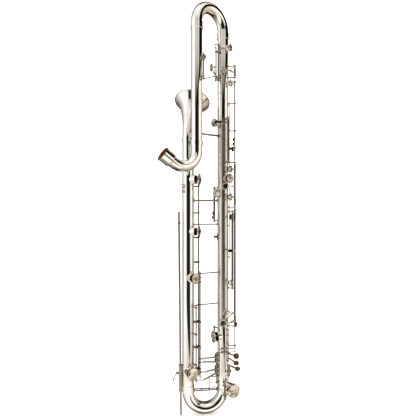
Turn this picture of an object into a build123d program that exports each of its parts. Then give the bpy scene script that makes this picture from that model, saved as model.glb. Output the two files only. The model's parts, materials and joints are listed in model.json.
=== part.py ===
# Contrabass clarinet, straight metal model, in millimetres.
# Two long tubes stand side by side, joined by a bow at the bottom. The key tube turns over at
# the top into a front leg, which ends in an upturned socket for the neck and mouthpiece. The
# bell tube carries a small bell that leans back. Frame: +Z up, +X from the bell tube to the
# key tube, +Y away from the player's view, origin at the tip of the stowed floor peg.
from build123d import *
from collections import namedtuple
from math import cos, degrees, hypot, radians, sin, tan
import os

os.makedirs("parts", exist_ok=True)

# Tubes
tube_wall = 0.75
key_tube_r = 15.25
bell_tube_r = 16.0
tube_spacing = 98.0
bow_z = 65.5
bow_r = 15.6
bow_lap = 24.0
top_bow_z = 1061.0
leg_turn = 33.3
leg_end_z = 720.0
bell_joint_z = 762.0
socket_bend_r = 42.0
socket_bend_angle = 124.3
socket_turn = 19.9
socket_run = 8.0

# Neck socket
socket_bore_r = 17.0
socket_wall = 1.5
socket_depth = 26.5
socket_floor = 3.0
socket_bead = 1.3

# Bell
bell_bend_r = 120.0
bell_bend_angle = 28.0
bell_turn = 23.0
bell_throat_r = 21.0
bell_flare = 62.3
bell_rim_r = 49.0
bell_bead_r = 1.6
bell_wall = 0.9

# Ferrules
ferrule_wall = 1.2
ferrule_length = 17.0
ferrule_drop = 3.0
band_length = 4.0

# Floor peg
peg_r = 3.0
peg_length = 560.0
peg_lean = 0.6
peg_collar_drop = 35.0
peg_collar_r = 4.3
peg_collar_length = 6.0
peg_clearance = 0.1
point_length = 6.0
tip_groove_z = 40.0
tip_groove_length = 2.0
tip_groove_depth = 0.5
holder_r = 4.75
holder_z = 68.0
holder_length = 72.0
screw_z = 117.0
screw_r = 1.6

# Tone holes and cups
chimney_wall = 1.2
cup_margin = 2.6
cup_wall = 1.0
cup_height = 4.6
cup_crown = 1.2
pad_proud = 1.0
seat_gap = 0.15

# Braces
brace_foot = 2.2
brace_foot_share = 1.9
foot_depth = 3.0
brace_back = 11.0

# Hinges
rod_r = 1.5
rod_clearance = 0.05
hinge_tube_r = 2.9
shaft_r = 1.9
ball_r = 3.7
stem_r = 1.7
post_foot_r = 3.8
post_foot_height = 1.2
plate_thick = 4.0
plate_margin = 1.6
arm_width = 5.0
arm_thick = 2.4
spring_r = 0.4
spring_length = 24.0
touch_crown = 0.9

Tube = namedtuple("Tube", "x y r")
bell_x = bell_tube_r + holder_r - (holder_z + holder_length / 2) * tan(radians(peg_lean))
key_x = bell_x + tube_spacing
leg_x = key_x - tube_spacing * cos(radians(leg_turn))
leg_y = -tube_spacing * sin(radians(leg_turn))
key_tube_axis = Tube(key_x, 0, key_tube_r)
bell_tube_axis = Tube(bell_x, 0, bell_tube_r)
leg_axis = Tube(leg_x, leg_y, key_tube_r)


def polar(tube, angle, radius):
    """A point beside a tube, at an angle from the front (-Y) round towards the right (+X)."""
    a = radians(angle)
    return Vector(tube.x + radius * sin(a), tube.y - radius * cos(a), 0)


def wall_plane(tube, angle, z, out=0.0):
    """A plane facing out from a tube, with its X axis up the tube."""
    a = radians(angle)
    normal = Vector(sin(a), -cos(a), 0)
    origin = Vector(tube.x, tube.y, z) + normal * out
    return Plane(origin=origin, x_dir=(0, 0, 1), z_dir=normal)


def turned(point, pivot, angle):
    """A point turned about a vertical axis through the pivot."""
    a = radians(angle)
    dx, dy = point.X - pivot.X, point.Y - pivot.Y
    x = pivot.X + dx * cos(a) - dy * sin(a)
    y = pivot.Y + dx * sin(a) + dy * cos(a)
    return Vector(x, y, point.Z)


def level(point, z):
    return Vector(point.X, point.Y, z)


class Key:
    """A padded key on an upright hinge: its tone hole, its pivot and how far it opens."""

    def __init__(self, name, tube, z, facing, cup_r, pivot, span, lift, chimney,
                 shaft=False, closed=False, over=None):
        self.name, self.tube, self.z, self.facing = name, tube, z, facing
        self.cup_r, self.pivot, self.span, self.lift = cup_r, pivot, span, lift
        self.chimney, self.shaft, self.closed, self.over = chimney, shaft, closed, over
        self.rim = tube.r + chimney
        self.hole_r = cup_r - cup_margin - chimney_wall
        seat = polar(tube, facing, self.rim + seat_gap)
        reach = (seat - pivot).length
        self.travel = degrees(lift / reach)
        outward = turned(seat, pivot, 1)
        grows = hypot(outward.X - tube.x, outward.Y - tube.y) > self.rim + seat_gap
        self.opening = self.travel if grows else -self.travel
        self.rest = 0.0 if closed else self.opening

    def placed(self, point):
        """A point of the closed key, moved to where it lies at rest."""
        return turned(point, self.pivot, self.rest)

    def seat_plane(self, out=0.0):
        """The pad's face at rest, facing away from the tube."""
        a = radians(self.facing)
        normal = Vector(sin(a), -cos(a), 0)
        seat = polar(self.tube, self.facing, self.rim + seat_gap)
        r = radians(self.rest)
        n = Vector(normal.X * cos(r) - normal.Y * sin(r), normal.X * sin(r) + normal.Y * cos(r), 0)
        return Plane(origin=level(self.placed(seat), self.z) + n * out, x_dir=(0, 0, 1), z_dir=n)

    def range(self):
        """The joint's limits in degrees, counted from rest."""
        end = self.opening if self.closed else -self.opening
        return sorted([0.0, end])


# Hinge lines, each beside its tube
side_line = polar(key_tube_axis, 75, 33.3)
middle_line = polar(key_tube_axis, 70, 26.7)
front_line = polar(key_tube_axis, 22, 27.0)
thumb_line = polar(key_tube_axis, -120, 25.5)
back_line = polar(key_tube_axis, -128, 27.0)
lever_line = polar(key_tube_axis, -66, 21.5)
register_line = polar(key_tube_axis, -43, 21.0)
octave_line = polar(key_tube_axis, -77, 21.0)
neck_line = polar(leg_axis, 45, 22.0)
bow_line = polar(key_tube_axis, -2, 32.0)
low_lines = [polar(bell_tube_axis, a, r) for a, r in ((100, 30.5), (91, 29.2), (81, 33.0), (50, 26.0))]

key_list = [
    Key("neck_octave_key", leg_axis, 970, 110, 6.5, neck_line, (903, 973), 1.5, 3.0,
        shaft=True, closed=True),
    Key("register_key", key_tube_axis, 1013, 45, 9.0, register_line, (919, 1022), 3.0, 5.5,
        shaft=True, closed=True, over=(2, 25.5)),
    Key("throat_a_key", key_tube_axis, 947, -10, 8.0, side_line, (938.4, 961.6), 4.0, 5.5,
        closed=True, over=(30, 29.0)),
    Key("side_key", key_tube_axis, 915, 50, 8.5, side_line, (701.4, 926), 4.0, 5.5,
        shaft=True, closed=True),
    Key("trill_key", key_tube_axis, 804.5, -70, 11.2, front_line, (701.5, 811.5), 5.0, 9.0,
        over=(-20, 27.0)),
    Key("left_plate_1", key_tube_axis, 677, 37, 9.5, side_line, (664.6, 692.6), 4.5, 5.5),
    Key("left_plate_2", key_tube_axis, 651, 31, 12.5, side_line, (643.6, 664.2), 5.0, 5.5),
    Key("front_key", key_tube_axis, 629, -6, 8.8, side_line, (622.6, 643.2), 4.5, 5.5,
        over=(30, 29.0)),
    Key("left_plate_3", key_tube_axis, 600, 37, 9.5, side_line, (576.5, 622.2), 4.5, 5.5),
    Key("thumb_key", key_tube_axis, 610, -67, 11.5, thumb_line, (538.5, 621.5), 4.5, 5.5,
        closed=True),
    Key("right_plate_1", key_tube_axis, 363.5, 42, 8.0, middle_line, (351, 555), 3.0, 5.5),
    Key("right_plate_2", key_tube_axis, 279, 14, 9.0, side_line, (268.2, 567.5), 4.5, 5.5,
        over=(44, 28.0)),
    Key("right_plate_3", key_tube_axis, 256, -18, 10.5, side_line, (244.5, 267.8), 5.0, 5.5,
        over=(25, 29.0)),
    Key("low_b_key", key_tube_axis, 213, -70, 15.4, back_line, (198.5, 227.5), 6.0, 5.5),
    Key("bow_key", key_tube_axis, 71, 40, 18.5, bow_line, (56.5, 85.5), 6.0, 18.0),
    Key("low_e_flat_key", bell_tube_axis, 647.5, 54, 15.0, low_lines[0], (106, 652), 6.0, 9.0,
        shaft=True),
    Key("low_d_key", bell_tube_axis, 505.5, 50, 14.0, low_lines[1], (106, 510), 6.0, 9.0,
        shaft=True),
    Key("low_c_sharp_key", bell_tube_axis, 380, 27, 14.5, low_lines[2], (100, 395), 6.5, 9.0,
        shaft=True, over=(62, 34.0)),
    Key("low_c_key", bell_tube_axis, 124, 11, 16.0, low_lines[3], (95, 306), 5.0, 9.0,
        shaft=True),
]
keys = {key.name: key for key in key_list}


def drill_tone_holes(tube, holes):
    """Adds the chimneys of a tube's tone holes, then opens the tube and the holes."""
    for key in holes:
        with BuildSketch(wall_plane(tube, key.facing, key.z)) as ring:
            Circle(key.hole_r + chimney_wall)
        extrude(ring.sketch, amount=key.rim)


def open_tone_holes(tube, holes):
    for key in holes:
        with BuildSketch(wall_plane(tube, key.facing, key.z)) as bore:
            Circle(key.hole_r)
        extrude(bore.sketch, amount=key.rim + 1, mode=Mode.SUBTRACT)


def upright(tube, radius, low, high, mode=Mode.ADD):
    """A round bar along a tube's axis."""
    with BuildSketch(Plane.XY.offset(low)) as disc:
        with Locations((tube.x, tube.y)):
            Circle(radius)
    extrude(disc.sketch, amount=high - low, mode=mode)


def pillar(point, radius, low, high, mode=Mode.ADD):
    """A round upright bar through a point."""
    upright(Tube(point.X, point.Y, radius), radius, low, high, mode)


def finish(part, name):
    part.part.label = name
    export_step(part.part, f"parts/{name}.step")


# Key tube, with the tone holes that the right and left hands work
key_tube_low = bow_z + bow_lap
key_holes = [k for k in key_list if k.tube is key_tube_axis and k.name != "bow_key"]
with BuildPart() as key_tube:
    upright(key_tube_axis, key_tube_r, key_tube_low, top_bow_z)
    drill_tone_holes(key_tube_axis, key_holes)
    upright(key_tube_axis, key_tube_r - tube_wall, key_tube_low, top_bow_z, Mode.SUBTRACT)
    open_tone_holes(key_tube_axis, key_holes)
finish(key_tube, "key_tube")

# Bell tube, with the four lowest tone holes
bell_holes = [k for k in key_list if k.tube is bell_tube_axis]
with BuildPart() as bell_tube:
    upright(bell_tube_axis, bell_tube_r, bow_z, bell_joint_z)
    drill_tone_holes(bell_tube_axis, bell_holes)
    upright(bell_tube_axis, bell_tube_r - tube_wall, bow_z, bell_joint_z, Mode.SUBTRACT)
    open_tone_holes(bell_tube_axis, bell_holes)
finish(bell_tube, "bell_tube")

# Bottom bow, with the tall chimney of the bow key
bow_radius = tube_spacing / 2
bow_key = keys["bow_key"]
with BuildPart() as bottom_bow:
    with BuildLine() as bow_path:
        ThreePointArc(
            (bell_x, 0, bow_z), (bell_x + bow_radius, 0, bow_z - bow_radius), (key_x, 0, bow_z)
        )
        Line((key_x, 0, bow_z), (key_x, 0, key_tube_low))
    with BuildSketch(Plane(origin=(bell_x, 0, bow_z), z_dir=(0, 0, -1))) as bow_outer:
        Circle(bow_r)
    sweep(bow_outer.sketch, path=bow_path.wires()[0])
    drill_tone_holes(key_tube_axis, [bow_key])
    with BuildSketch(Plane(origin=(bell_x, 0, bow_z), z_dir=(0, 0, -1))) as bow_inner:
        Circle(bow_r - tube_wall)
    sweep(bow_inner.sketch, path=bow_path.wires()[0], mode=Mode.SUBTRACT)
    open_tone_holes(key_tube_axis, [bow_key])
finish(bottom_bow, "bottom_bow")

# Top bow, over from the key tube to the front leg
leg_way = Vector(leg_x - key_x, leg_y, 0).normalized()
top_centre = Vector(key_x, 0, top_bow_z) + leg_way * bow_radius
with BuildPart() as top_bow:
    with BuildLine() as top_path:
        ThreePointArc(
            (key_x, 0, top_bow_z), top_centre + Vector(0, 0, bow_radius), (leg_x, leg_y, top_bow_z)
        )
    with BuildSketch(Plane(origin=(key_x, 0, top_bow_z), z_dir=(0, 0, 1))) as top_ring:
        Circle(key_tube_r)
        Circle(key_tube_r - tube_wall, mode=Mode.SUBTRACT)
    sweep(top_ring.sketch, path=top_path.wires()[0])
finish(top_bow, "top_bow")

# Front leg: a straight tube that ends in the upturned bend
neck_octave = keys["neck_octave_key"]
socket_way = Vector(-cos(radians(socket_turn)), -sin(radians(socket_turn)), 0)
bend_end = radians(socket_bend_angle)
bend_centre = Vector(leg_x, leg_y, leg_end_z) + socket_way * socket_bend_r


def on_bend(angle):
    """A point on the bend's centre line, at an angle past the leg's end."""
    inward = socket_way * (-cos(angle)) + Vector(0, 0, -sin(angle))
    return bend_centre + inward * socket_bend_r


socket_dir = socket_way * sin(bend_end) + Vector(0, 0, -cos(bend_end))
socket_base = on_bend(bend_end) + socket_dir * socket_run
with BuildPart() as front_leg:
    with BuildLine() as leg_path:
        Line((leg_x, leg_y, top_bow_z), (leg_x, leg_y, leg_end_z))
        ThreePointArc((leg_x, leg_y, leg_end_z), on_bend(bend_end / 2), on_bend(bend_end))
        Line(on_bend(bend_end), socket_base)
    leg_start = Plane(origin=(leg_x, leg_y, top_bow_z), z_dir=(0, 0, -1))
    with BuildSketch(leg_start) as leg_outer:
        Circle(key_tube_r)
    sweep(leg_outer.sketch, path=leg_path.wires()[0])
    drill_tone_holes(leg_axis, [neck_octave])
    with BuildSketch(leg_start) as leg_inner:
        Circle(key_tube_r - tube_wall)
    sweep(leg_inner.sketch, path=leg_path.wires()[0], mode=Mode.SUBTRACT)
    open_tone_holes(leg_axis, [neck_octave])
finish(front_leg, "front_leg")

# Neck socket: an enlarged sleeve soldered over the end of the bend
socket_r = socket_bore_r + socket_wall
socket_length = socket_depth + socket_floor
socket_side = Plane(origin=socket_base, x_dir=socket_dir, z_dir=socket_dir.cross(socket_way))
with BuildPart() as neck_socket:
    with BuildSketch(socket_side) as wall:
        with BuildLine():
            Polyline(
                (0, key_tube_r - tube_wall),
                (0, key_tube_r + socket_wall),
                (socket_floor, socket_r),
                (socket_length - 2 * socket_bead, socket_r),
                (socket_length - 2 * socket_bead, socket_r + socket_bead),
                (socket_length, socket_r + socket_bead),
                (socket_length, socket_bore_r),
                (socket_floor, socket_bore_r),
                (socket_floor, key_tube_r - tube_wall),
                close=True,
            )
        make_face()
    revolve(wall.sketch, axis=Axis(socket_base, socket_dir))
finish(neck_socket, "neck_socket")

# Bell: a lofted bend that widens, then a spun flare with a wired rim
bell_way = Vector(sin(radians(bell_turn)), cos(radians(bell_turn)), 0)
bell_base = Vector(bell_x, 0, bell_joint_z)


def bell_plane(angle):
    """The plane across the bell's bend, at an angle along it."""
    a = radians(angle)
    rise = Vector(0, 0, 1)
    place = bell_base + bell_way * (bell_bend_r * (1 - cos(a))) + rise * (bell_bend_r * sin(a))
    return Plane(origin=place, x_dir=bell_way.cross(rise), z_dir=rise * cos(a) + bell_way * sin(a))


def bend_sections(inset):
    widths = [bell_tube_r, bell_tube_r, bell_tube_r + 1.4, bell_throat_r]
    sections = []
    for step, width in enumerate(widths):
        with BuildSketch(bell_plane(bell_bend_angle * step / 3)) as section:
            Circle(width - inset)
        sections.append(section.sketch)
    return sections


flare_base = bell_plane(bell_bend_angle)
flare_side = Plane(origin=flare_base.origin, x_dir=flare_base.z_dir, z_dir=flare_base.x_dir)
flare_shape = ((0.0, 0.0), (0.30, 0.17), (0.60, 0.40), (0.84, 0.70), (1.0, 1.0))
flare_gain = bell_rim_r - bell_throat_r
with BuildPart() as bell:
    loft(bend_sections(0))
    loft(bend_sections(tube_wall), mode=Mode.SUBTRACT)
    with BuildSketch(flare_side) as flare:
        with BuildLine():
            outer = [(bell_flare * s, bell_throat_r + flare_gain * g) for s, g in flare_shape]
            inner = [(x, y - bell_wall) for x, y in outer]
            Spline(*outer)
            Line(outer[-1], inner[-1])
            Spline(*reversed(inner))
            Line(inner[0], outer[0])
        make_face()
        with Locations((bell_flare, bell_rim_r)):
            Circle(bell_bead_r)
    revolve(flare.sketch, axis=Axis(flare_base.origin, flare_base.z_dir))
finish(bell, "bell")


def ring(tube, low, length, wall=ferrule_wall):
    """A band round a tube."""
    with BuildSketch(Plane.XY.offset(low)) as band:
        with Locations((tube.x, tube.y)):
            Circle(tube.r + wall)
            Circle(tube.r, mode=Mode.SUBTRACT)
    extrude(band.sketch, amount=length)


# Ferrules over the slip joints, and the bands on the front leg
top_ferrule_z = top_bow_z - ferrule_drop - ferrule_length
with BuildPart() as ferrules:
    ring(bell_tube_axis, bow_z, ferrule_length)
    ring(key_tube_axis, key_tube_low, ferrule_length)
    ring(key_tube_axis, top_ferrule_z, ferrule_length)
    ring(leg_axis, top_ferrule_z, ferrule_length)
    ring(bell_tube_axis, bell_joint_z - ferrule_length / 2, ferrule_length / 2)
    ring(leg_axis, 838, band_length)
    ring(leg_axis, 832, band_length)
    ring(leg_axis, 736, 9.0)
finish(ferrules, "ferrules")


def bar_between(start, end, radius):
    """A round bar from one point to another."""
    way = (end - start).normalized()
    with BuildSketch(Plane(origin=start, z_dir=way)) as rod:
        Circle(radius)
    extrude(rod.sketch, amount=(end - start).length)


def stay(tube_a, z_a, tube_b, z_b, radius, back=0.0):
    """A round stay between two tubes, with a wider foot soldered to each, set back from their axes."""
    start, end = Vector(tube_a.x, tube_a.y + back, z_a), Vector(tube_b.x, tube_b.y + back, z_b)
    way = (end - start).normalized()
    bar_between(start, end, radius)
    for centre, tube, side in ((start, tube_a, 1), (end, tube_b, -1)):
        buried = (tube.r**2 - back**2) ** 0.5 - foot_depth
        at = centre + way * (side * buried)
        bar_between(at, at + way * (side * (foot_depth + brace_foot)), radius * brace_foot_share)


# Braces between the tubes. The lowest is a pair of rods across the bow, with a wire that steadies
# the lowest post of the crossing levers.
bow_limbs = [Tube(bell_x, 0, bow_r), Tube(key_x, 0, bow_r)]
pair_r = 1.6
pair_heights = ((70.3, 66.4), (65.1, 62.0))
pair_ball_r = 2.7
wire_r = 1.2
wire_top = level(lever_line, 104)
wire_knee = Vector(bell_x + 0.6 * tube_spacing, -3, 101.6)
wire_foot = Vector(wire_knee.X, 0, 67.9)
with BuildPart() as tube_braces:
    for left_z, right_z in pair_heights:
        stay(bow_limbs[0], left_z, bow_limbs[1], right_z, pair_r)
    for share in (0.385, 0.6):
        rod_z = pair_heights[0][0] + share * (pair_heights[0][1] - pair_heights[0][0])
        with Locations((bell_x + share * tube_spacing, 0, rod_z)):
            Sphere(pair_ball_r)
    bar_between(wire_top, wire_knee, wire_r)
    bar_between(wire_knee, wire_foot, wire_r)
    with Locations(wire_knee):
        Sphere(wire_r)
    stay(bell_tube_axis, 590.5, key_tube_axis, 590.5, 2.5)
    stay(bell_tube_axis, 524.5, key_tube_axis, 524.5, 1.8)
    stay(bell_tube_axis, 384.5, key_tube_axis, 389, 1.8, brace_back)
    stay(bell_tube_axis, 297, key_tube_axis, 302, 1.8, brace_back)
    stay(leg_axis, 766.5, key_tube_axis, 770, 2.7)
    stay(bell_tube_axis, 748, leg_axis, 748, 2.7)
    upright(bell_tube_axis, bell_tube_r, bow_z, bell_joint_z, Mode.SUBTRACT)
    upright(key_tube_axis, key_tube_r, key_tube_low, top_bow_z, Mode.SUBTRACT)
    upright(leg_axis, leg_axis.r, leg_end_z, top_bow_z, Mode.SUBTRACT)
    for limb in bow_limbs:
        upright(limb, limb.r, bow_z - bow_r, key_tube_low, Mode.SUBTRACT)
    with Locations(wire_top):
        Sphere(ball_r, mode=Mode.SUBTRACT)
    add(ferrules.part, mode=Mode.SUBTRACT)
    add(bottom_bow.part, mode=Mode.SUBTRACT)
finish(tube_braces, "tube_braces")


def post(tube, pivot, z):
    """A turned post from the tube's wall to a ball on the hinge line."""
    way = Vector(pivot.X - tube.x, pivot.Y - tube.y, 0)
    with BuildSketch(Plane(origin=(tube.x, tube.y, z), z_dir=way)) as stem:
        Circle(stem_r)
    extrude(stem.sketch, amount=way.length)
    foot = Plane(origin=Vector(tube.x, tube.y, z) + way.normalized() * (tube.r - 1), z_dir=way)
    with Locations(foot.location):
        Cylinder(post_foot_r, 1 + post_foot_height, align=(Align.CENTER, Align.CENTER, Align.MIN))
    with Locations((pivot.X, pivot.Y, z)):
        Sphere(ball_r)


def post_row(tube, pivot, heights):
    for z in heights:
        post(tube, pivot, z)


rod_rows = [
    (key_tube_axis, side_line, (966, 934)),
    (key_tube_axis, side_line, (697, 572, 240, 186)),
    (key_tube_axis, middle_line, (559.5, 346.5)),
    (key_tube_axis, front_line, (816, 697)),
    (key_tube_axis, back_line, (232, 194)),
    (key_tube_axis, thumb_line, (626, 534)),
    (key_tube_axis, lever_line, (167, 133, 104, 88)),
]
shaft_rows = [
    (key_tube_axis, side_line, (922, 862, 785, 738)),
    (key_tube_axis, register_line, (1000, 930)),
    (key_tube_axis, octave_line, (1004, 934)),
    (leg_axis, neck_line, (960, 912)),
]
# Posts on the key tube and the front leg
bow_post_z = 52.0
bow_rod = (bow_line, 48, 94)
with BuildPart() as key_posts:
    for tube, pivot, heights in rod_rows + shaft_rows:
        post_row(tube, pivot, heights)
    post(key_tube_axis, bow_line, 90)
    with BuildSketch(Plane.XZ.offset(bow_r - 1)) as bow_foot:
        with Locations((bow_line.X, bow_post_z)):
            Circle(stem_r)
    extrude(bow_foot.sketch, amount=-bow_line.Y - bow_r + 1)
    bow_void = Plane(origin=(bow_line.X, 0, bow_post_z), z_dir=(0, -1, 0))
    with Locations(bow_void.location):
        Cylinder(stem_r + 1, bow_r - tube_wall / 2 - 0.5, align=(Align.CENTER, Align.CENTER, Align.MIN),
                 mode=Mode.SUBTRACT)
    with Locations((bow_line.X, bow_line.Y, bow_post_z)):
        Sphere(ball_r)
    upright(key_tube_axis, key_tube_r, key_tube_low, top_bow_z, Mode.SUBTRACT)
    upright(Tube(key_x, 0, bow_r), bow_r, bow_z, key_tube_low, Mode.SUBTRACT)
    upright(leg_axis, key_tube_r, leg_end_z, top_bow_z, Mode.SUBTRACT)
    add(ferrules.part, mode=Mode.SUBTRACT)
    add(bottom_bow.part, mode=Mode.SUBTRACT)
    for tube, pivot, heights in rod_rows:
        pillar(pivot, rod_r, min(heights) - 6, max(heights) + 6, Mode.SUBTRACT)
    for tube, pivot, heights in shaft_rows:
        pillar(pivot, shaft_r + rod_clearance, min(heights) - 6, max(heights) + 6, Mode.SUBTRACT)
    pillar(bow_line, rod_r, bow_rod[1] - 2, bow_rod[2] + 2, Mode.SUBTRACT)
finish(key_posts, "key_posts")


def post_plate(pivots, z):
    """A plate on the bell tube that carries several shafts side by side."""
    nearest = min(pivots, key=lambda p: hypot(p.X - bell_x, p.Y))
    foot = Vector(nearest.X - bell_x, nearest.Y, 0).normalized() * (bell_tube_r - 1)
    with BuildSketch(Plane.XY.offset(z - plate_thick / 2)) as plate:
        with Locations([(p.X, p.Y) for p in pivots] + [(bell_x + foot.X, foot.Y)]):
            Circle(shaft_r + plate_margin)
        make_hull()
    extrude(plate.sketch, amount=plate_thick)


# Plates on the bell tube that carry the long low-key shafts
with BuildPart() as bell_posts:
    post_plate([low_lines[0]], 630)
    post_plate([low_lines[0]], 556)
    for z in (488, 420):
        post_plate([low_lines[0], low_lines[1]], z)
    for z in (366, 255, 185, 125):
        post_plate(low_lines[:3], z)
    for z in (298, 225, 142):
        post_plate([low_lines[3]], z)
    upright(bell_tube_axis, bell_tube_r, bow_z, bell_joint_z, Mode.SUBTRACT)
    for key in bell_holes:
        pillar(key.pivot, shaft_r + rod_clearance, key.span[0] - 5, key.span[1], Mode.SUBTRACT)
finish(bell_posts, "bell_posts")

# Steel rods that the tube-hinged keys turn on
rod_spans = [
    (side_line, 930, 970), (side_line, 182, 697.4), (middle_line, 342.5, 563.5),
    (front_line, 693, 820), (back_line, 190, 236), (thumb_line, 530, 630),
    (lever_line, 84.5, 170.5), bow_rod,
]
with BuildPart() as hinge_rods:
    for line, low, high in rod_spans:
        pillar(line, rod_r, low, high)
finish(hinge_rods, "hinge_rods")


def hinge_barrel(key):
    """The part of a key that turns on or in its posts."""
    pillar(key.pivot, shaft_r if key.shaft else hinge_tube_r, *key.span)


def bore_barrel(key):
    if not key.shaft:
        pillar(key.pivot, rod_r + rod_clearance, key.span[0] - 1, key.span[1] + 1, Mode.SUBTRACT)


def flat_bar(points, z, width=arm_width, thick=arm_thick):
    """A flat bar that follows points across the tube."""
    with BuildSketch(Plane.XY.offset(z - width / 2)) as bar:
        with BuildLine():
            Polyline(*[(p.X, p.Y) for p in points])
        trace(line_width=thick)
    extrude(bar.sketch, amount=width)


def cup(key):
    """The cup, its crown and the arm from the hinge."""
    inset = 0.28 * key.cup_r
    with Locations(key.seat_plane(pad_proud).location):
        Cylinder(key.cup_r, cup_height - pad_proud, align=(Align.CENTER, Align.CENTER, Align.MIN))
    with Locations(key.seat_plane(cup_height).location):
        Cone(key.cup_r - 0.6, key.cup_r - inset, cup_crown, align=(Align.CENTER, Align.CENTER, Align.MIN))
    back = key.rim + seat_gap + cup_height + cup_crown * 0.6
    facing = radians(key.facing)
    normal = Vector(sin(facing), -cos(facing), 0)
    across = Vector(cos(facing), sin(facing), 0)
    side = 1 if (key.pivot - polar(key.tube, key.facing, 0)).dot(across) > 0 else -1
    axis = polar(key.tube, 0, 0)
    near = axis + normal * (back + 0.5) + across * (side * key.cup_r * 0.8)
    far = axis + normal * (back + 0.5) - across * (side * key.cup_r * 0.35)
    way = [key.pivot]
    if key.over:
        way.append(polar(key.tube, *key.over))
    flat_bar([key.placed(p) for p in way + [near, far]], key.z)


def pocket(key):
    with Locations(key.seat_plane(0).location):
        Cylinder(key.cup_r - cup_wall, cup_height - cup_wall, align=(Align.CENTER, Align.CENTER, Align.MIN),
                 mode=Mode.SUBTRACT)


def lever(start, end, root=(5.0, 3.0), tip=(3.4, 2.2)):
    """A tapered lever between two points."""
    way = (end - start).normalized()
    up = Vector(0, 0, 1)
    sections = []
    for at, (height, thick) in ((start, root), (end, tip)):
        with BuildSketch(Plane(origin=at, x_dir=up - way * up.dot(way), z_dir=way)) as section:
            Rectangle(height, thick)
        sections.append(section.sketch)
    loft(sections)


def touch(place, normal, length, width, thick=1.2):
    """A finger plate with a bevelled rim, its long side up the tube unless it is wider."""
    base = Plane(origin=place, x_dir=(0, 0, 1), z_dir=normal)
    layers = []
    for out, less in ((0, 0), (thick, 0), (thick + touch_crown, touch_crown)):
        with BuildSketch(base.offset(out)) as layer:
            if length > width:
                SlotOverall(length - 2 * less, width - 2 * less)
            else:
                Ellipse(length / 2 - less, width / 2 - less)
        layers.append(layer.sketch)
    extrude(layers[0], amount=thick)
    loft(sections=layers[1:], ruled=True)


# How the fingers reach the keys that aren't pressed on their own cups
def reach_out(pivot, angle, radius, z):
    """A lever from the hinge to a place beside the key tube; returns that place."""
    end = level(polar(key_tube_axis, angle, radius), z)
    lever(level(pivot, z), end)
    return end


front = Vector(-sin(radians(10)), -cos(radians(10)), 0)
right = Vector(cos(radians(10)), -sin(radians(10)), 0)
meet_right = 18.0
meet_far = 6.0
meet_z = (150.0, 142.0, 117.0, 100.5)
octave_meet = polar(key_tube_axis, -49, 38.8)
octave_finger_r = 1.5
octave_finger_low = 926.5
octave_finger_top = 946.0


def meet_reach(index):
    """How far to the right a low key's linking arm goes; the last key's goes further."""
    return meet_right + (meet_far if index == 3 else 0)


def key_extras(key):
    """Touches and linking arms of one key."""
    pivot = key.pivot
    if key.name == "neck_octave_key":
        lever(level(pivot, 905), level(octave_meet, 928), (4, 3), (3, 2.4))
        pillar(octave_meet, octave_finger_r, octave_finger_low, octave_finger_top)
        with Locations(level(octave_meet, octave_finger_top)):
            Sphere(octave_finger_r + 0.6)
    if key.name == "register_key":
        reach_out(pivot, -58, 36, 1019)
        touch(reach_out(pivot, -58, 27, 923), front, 12, 7)
    if key.name == "throat_a_key":
        touch(reach_out(pivot, 52, 35, 957), front, 10, 7)
    if key.name == "side_key":
        for z in (759, 747):
            touch(reach_out(pivot, 60, 31, z), front, 9, 6)
    if key.name == "trill_key":
        touch(reach_out(pivot, 36, 36, 731), front, 14, 7)
    if key.name == "thumb_key":
        for z, angle in ((555, -86), (543, -96)):
            touch(reach_out(pivot, angle, 28, z), front, 9, 6)
    if key.name == "right_plate_1":
        touch(reach_out(pivot, 40, 27, 545), front, 16, 7)
    if key.name == "right_plate_2":
        knee = reach_out(pivot, 52, 36, 453)
        end = level(polar(key_tube_axis, 30, 31), 453)
        lever(knee, end)
        touch(end, front, 9, 17)
    if key.name == "right_plate_3":
        touch(reach_out(pivot, 60, 38, 248), front, 13, 7)
    if key.tube is bell_tube_axis:
        index = bell_holes.index(key)
        foot = level(pivot, meet_z[index])
        lever(foot, foot + right * meet_reach(index), (4.4, 2.6), (4.0, 2.0))


for key in key_list:
    with BuildPart() as body:
        hinge_barrel(key)
        cup(key)
        key_extras(key)
        pocket(key)
        bore_barrel(key)
    finish(body, key.name)
    with BuildPart() as pad:
        with Locations(key.seat_plane(0).location):
            Cylinder(key.cup_r - cup_wall, cup_height - cup_wall,
                     align=(Align.CENTER, Align.CENTER, Align.MIN))
    finish(pad, key.name + "_pad")

# Crossing levers: pressed on the right of the key tube, they pass behind it and work the low keys
# on the bell tube. The last one comes round to the front, to a long touch.
lever_spans = ((150.8, 163.0), (137.0, 150.4), (119.2, 129.0), (108.0, 118.8))
spatulas = ((157.1, 37.0, 17, 16), (137.7, 37.0, 13, 16), (121.8, 40.5, 13, 15))
low_lever_names = ("e_flat_lever", "d_lever", "c_sharp_lever", "c_lever")
tip_r = 1.7
tip_gap = 0.4
tip_length = 4.6
meet_short = 2.5
meet_half = 1.2
lever_tube_r = 2.6
hoop_r = 22.5
hoop_start = 100
hoop_height = 4.0
long_touch_z = 124.0


def hoop(pivot, z, last_angle):
    """A flat bar from the hinge round the back of the key tube; returns where it ends."""
    start, end = polar(key_tube_axis, -hoop_start, hoop_r), polar(key_tube_axis, last_angle, hoop_r)
    middle = polar(key_tube_axis, 180 - (hoop_start - last_angle) / 2, hoop_r)
    with BuildSketch(Plane.XY.offset(z - hoop_height / 2)) as bar:
        with BuildLine():
            Line((pivot.X, pivot.Y), (start.X, start.Y))
            ThreePointArc((start.X, start.Y), (middle.X, middle.Y), (end.X, end.Y))
        trace(line_width=arm_thick)
    extrude(bar.sketch, amount=hoop_height)
    return level(end, z)


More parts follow.
